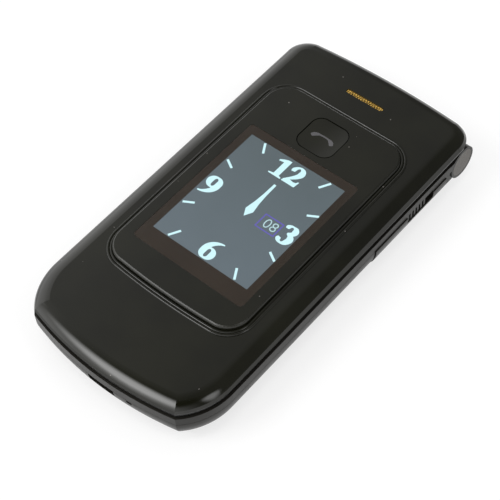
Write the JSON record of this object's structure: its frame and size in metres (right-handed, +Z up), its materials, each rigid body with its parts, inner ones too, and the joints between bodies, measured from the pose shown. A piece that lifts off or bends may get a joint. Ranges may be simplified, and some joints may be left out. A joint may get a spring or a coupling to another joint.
{
  "type": "clamshell mobile phone",
  "caption": "Flip phone with a small outer clock display, sprung lid hinge, pressing keypad, side slide switch and lift-off battery cover",
  "frame": {"origin": "on the table, under the middle of the closed phone's bounding box", "axes": "+X to the right side with the slide switch, +Y towards the hinge end, +Z up out of the lid"},
  "size_m": [0.054, 0.1059, 0.0168],
  "materials": {
    "lid_gloss": "glossy",
    "casing": "satin",
    "lid_frame": "satin",
    "window": "polished",
    "screen": "smooth",
    "inner_glass": "polished",
    "gold_mesh": "woven",
    "steel": "brushed",
    "cap_grey": "satin",
    "board": "smooth",
    "film": "smooth",
    "flex": "smooth",
    "rubber_grey": "matte",
    "rubber_black": "matte",
    "key_black": "satin",
    "key_green": "satin",
    "key_red": "satin",
    "nav_metal": "satin",
    "battery_wrap": "smooth",
    "contact_gold": "polished"
  },
  "bodies": {
    "base": {"base_front_shell": "casing", "hinge_pin": "steel", "hinge_cap_left": "cap_grey", "hinge_cap_right": "cap_grey", "keypad_mat": "rubber_grey", "dome_sheet": "film", "main_board": "board", "shield_can": "steel", "usb_socket": "steel", "microphone": "steel", "base_rear_shell": "casing", "base_screws": "steel", "battery": "battery_wrap", "battery_contacts": "contact_gold", "sim_holder": "steel", "vibration_motor": "steel", "camera_module": "rubber_black", "camera_window": "inner_glass", "antenna": "flex", "slide_switch": "steel"},
    "lid": {"lid_outer_shell": "lid_gloss", "panel_bezel": "lid_gloss", "outer_window": "window", "outer_display": "screen", "speaker_mesh": "gold_mesh", "loudspeaker": "rubber_black", "lid_board": "board", "earpiece": "steel", "earpiece_mesh": "rubber_black", "inner_display": "screen", "inner_window": "inner_glass", "lid_inner_shell": "lid_frame", "lid_screws": "steel", "lid_bumpers": "rubber_black", "lid_magnet": "steel", "hinge_cartridge": "steel", "hinge_flex": "flex"},
    "outer_call_key_body": {"outer_call_key": "lid_gloss"},
    "ok_key_body": {"ok_key": "key_black"},
    "soft_key_left_body": {"soft_key_left": "key_black"},
    "soft_key_right_body": {"soft_key_right": "key_black"},
    "call_key_body": {"call_key": "key_green"},
    "end_key_body": {"end_key": "key_red"},
    "key_1_body": {"key_1": "key_black"},
    "key_2_body": {"key_2": "key_black"},
    "key_3_body": {"key_3": "key_black"},
    "key_4_body": {"key_4": "key_black"},
    "key_5_body": {"key_5": "key_black"},
    "key_6_body": {"key_6": "key_black"},
    "key_7_body": {"key_7": "key_black"},
    "key_8_body": {"key_8": "key_black"},
    "key_9_body": {"key_9": "key_black"},
    "key_star_body": {"key_star": "key_black"},
    "key_0_body": {"key_0": "key_black"},
    "key_hash_body": {"key_hash": "key_black"},
    "nav_rocker_body": {"nav_rocker": "nav_metal"},
    "side_slider_body": {"side_slider": "casing"},
    "battery_cover_body": {"battery_cover": "casing"}
  },
  "joints": [
    {"name": "lid_hinge", "type": "hinge", "parent": "base", "child": "lid", "pos_m": [0, 0.04665, 0.0084], "axis": [-1, 0, 0], "range_deg": [0, 155]},
    {"name": "outer_call_key_press", "type": "slide", "parent": "lid", "child": "outer_call_key_body", "axis": [0, 0, -1], "range_m": [0, 0.00035], "stiffness_N_per_m": 1500, "springref_m": -0.0004},
    {"name": "ok_key_press", "type": "slide", "parent": "base", "child": "ok_key_body", "axis": [0, 0, -1], "range_m": [0, 0.0004], "stiffness_N_per_m": 1500, "springref_m": -0.0004},
    {"name": "soft_key_left_press", "type": "slide", "parent": "base", "child": "soft_key_left_body", "axis": [0, 0, -1], "range_m": [0, 0.0004], "stiffness_N_per_m": 1500, "springref_m": -0.0004},
    {"name": "soft_key_right_press", "type": "slide", "parent": "base", "child": "soft_key_right_body", "axis": [0, 0, -1], "range_m": [0, 0.0004], "stiffness_N_per_m": 1500, "springref_m": -0.0004},
    {"name": "call_key_press", "type": "slide", "parent": "base", "child": "call_key_body", "axis": [0, 0, -1], "range_m": [0, 0.0004], "stiffness_N_per_m": 1500, "springref_m": -0.0004},
    {"name": "end_key_press", "type": "slide", "parent": "base", "child": "end_key_body", "axis": [0, 0, -1], "range_m": [0, 0.0004], "stiffness_N_per_m": 1500, "springref_m": -0.0004},
    {"name": "key_1_press", "type": "slide", "parent": "base", "child": "key_1_body", "axis": [0, 0, -1], "range_m": [0, 0.0004], "stiffness_N_per_m": 1500, "springref_m": -0.0004},
    {"name": "key_2_press", "type": "slide", "parent": "base", "child": "key_2_body", "axis": [0, 0, -1], "range_m": [0, 0.0004], "stiffness_N_per_m": 1500, "springref_m": -0.0004},
    {"name": "key_3_press", "type": "slide", "parent": "base", "child": "key_3_body", "axis": [0, 0, -1], "range_m": [0, 0.0004], "stiffness_N_per_m": 1500, "springref_m": -0.0004},
    {"name": "key_4_press", "type": "slide", "parent": "base", "child": "key_4_body", "axis": [0, 0, -1], "range_m": [0, 0.0004], "stiffness_N_per_m": 1500, "springref_m": -0.0004},
    {"name": "key_5_press", "type": "slide", "parent": "base", "child": "key_5_body", "axis": [0, 0, -1], "range_m": [0, 0.0004], "stiffness_N_per_m": 1500, "springref_m": -0.0004},
    {"name": "key_6_press", "type": "slide", "parent": "base", "child": "key_6_body", "axis": [0, 0, -1], "range_m": [0, 0.0004], "stiffness_N_per_m": 1500, "springref_m": -0.0004},
    {"name": "key_7_press", "type": "slide", "parent": "base", "child": "key_7_body", "axis": [0, 0, -1], "range_m": [0, 0.0004], "stiffness_N_per_m": 1500, "springref_m": -0.0004},
    {"name": "key_8_press", "type": "slide", "parent": "base", "child": "key_8_body", "axis": [0, 0, -1], "range_m": [0, 0.0004], "stiffness_N_per_m": 1500, "springref_m": -0.0004},
    {"name": "key_9_press", "type": "slide", "parent": "base", "child": "key_9_body", "axis": [0, 0, -1], "range_m": [0, 0.0004], "stiffness_N_per_m": 1500, "springref_m": -0.0004},
    {"name": "key_star_press", "type": "slide", "parent": "base", "child": "key_star_body", "axis": [0, 0, -1], "range_m": [0, 0.0004], "stiffness_N_per_m": 1500, "springref_m": -0.0004},
    {"name": "key_0_press", "type": "slide", "parent": "base", "child": "key_0_body", "axis": [0, 0, -1], "range_m": [0, 0.0004], "stiffness_N_per_m": 1500, "springref_m": -0.0004},
    {"name": "key_hash_press", "type": "slide", "parent": "base", "child": "key_hash_body", "axis": [0, 0, -1], "range_m": [0, 0.0004], "stiffness_N_per_m": 1500, "springref_m": -0.0004},
    {"name": "nav_tilt", "type": "hinge", "parent": "base", "child": "nav_rocker_body", "pos_m": [0, 0.027, 0.0101], "axis": [1, 0, 0], "range_deg": [-2, 2], "stiffness_Nm_per_rad": 0.06},
    {"name": "side_slider_slide", "type": "slide", "parent": "base", "child": "side_slider_body", "axis": [0, 1, 0], "range_m": [0, 0.0024]},
    {"name": "battery_cover_lift", "type": "slide", "parent": "base", "child": "battery_cover_body", "axis": [0, 0, -1], "range_m": [0, 0.012]}
  ]
}
